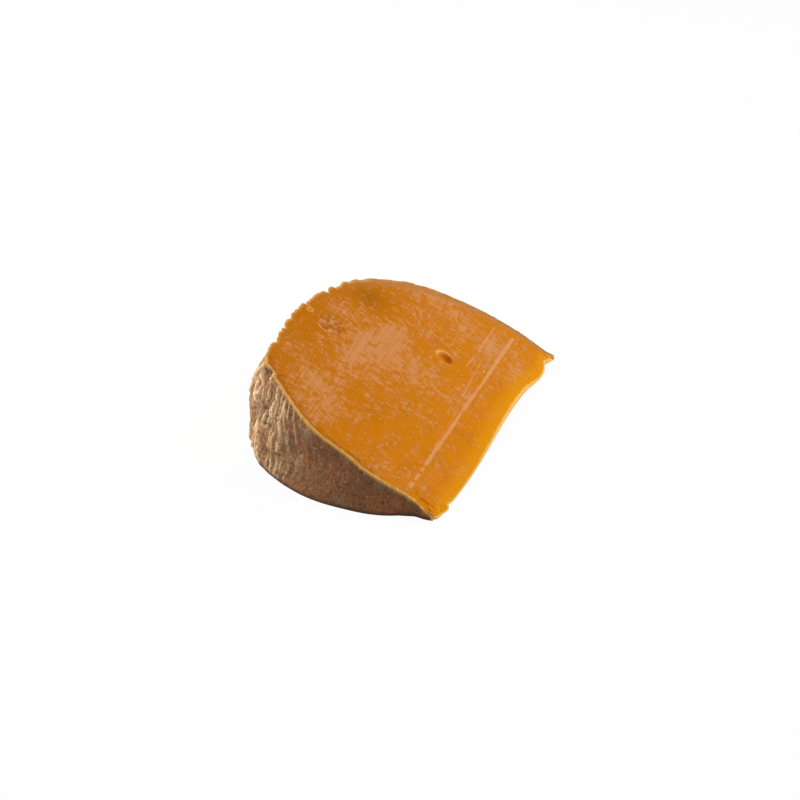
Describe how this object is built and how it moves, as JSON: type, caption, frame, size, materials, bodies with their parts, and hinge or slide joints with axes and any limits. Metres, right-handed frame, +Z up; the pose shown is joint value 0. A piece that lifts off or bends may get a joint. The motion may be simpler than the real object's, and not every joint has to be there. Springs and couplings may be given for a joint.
{
  "type": "aged ball cheese wedge",
  "caption": "Wedge of hard, deep orange aged cheese cut from a ball, lying on a flat cut face, with a furrowed brown rind round its curved side and a thin worn edge.",
  "frame": {"origin": "on the surface that the wedge rests on, under the middle of its bounding box", "axes": "+Y along the thin edge, from the base end of the ball to its dome end; +X from the rind towards the thin edge; +Z up, away from the cut face that it rests on"},
  "size_m": [0.1004, 0.1516, 0.0502],
  "materials": {
    "cheese": "soft satin cut paste with a dry, pitted brown rind"
  },
  "bodies": {
    "root": {"cheese_wedge": "cheese"}
  },
  "joints": []
}
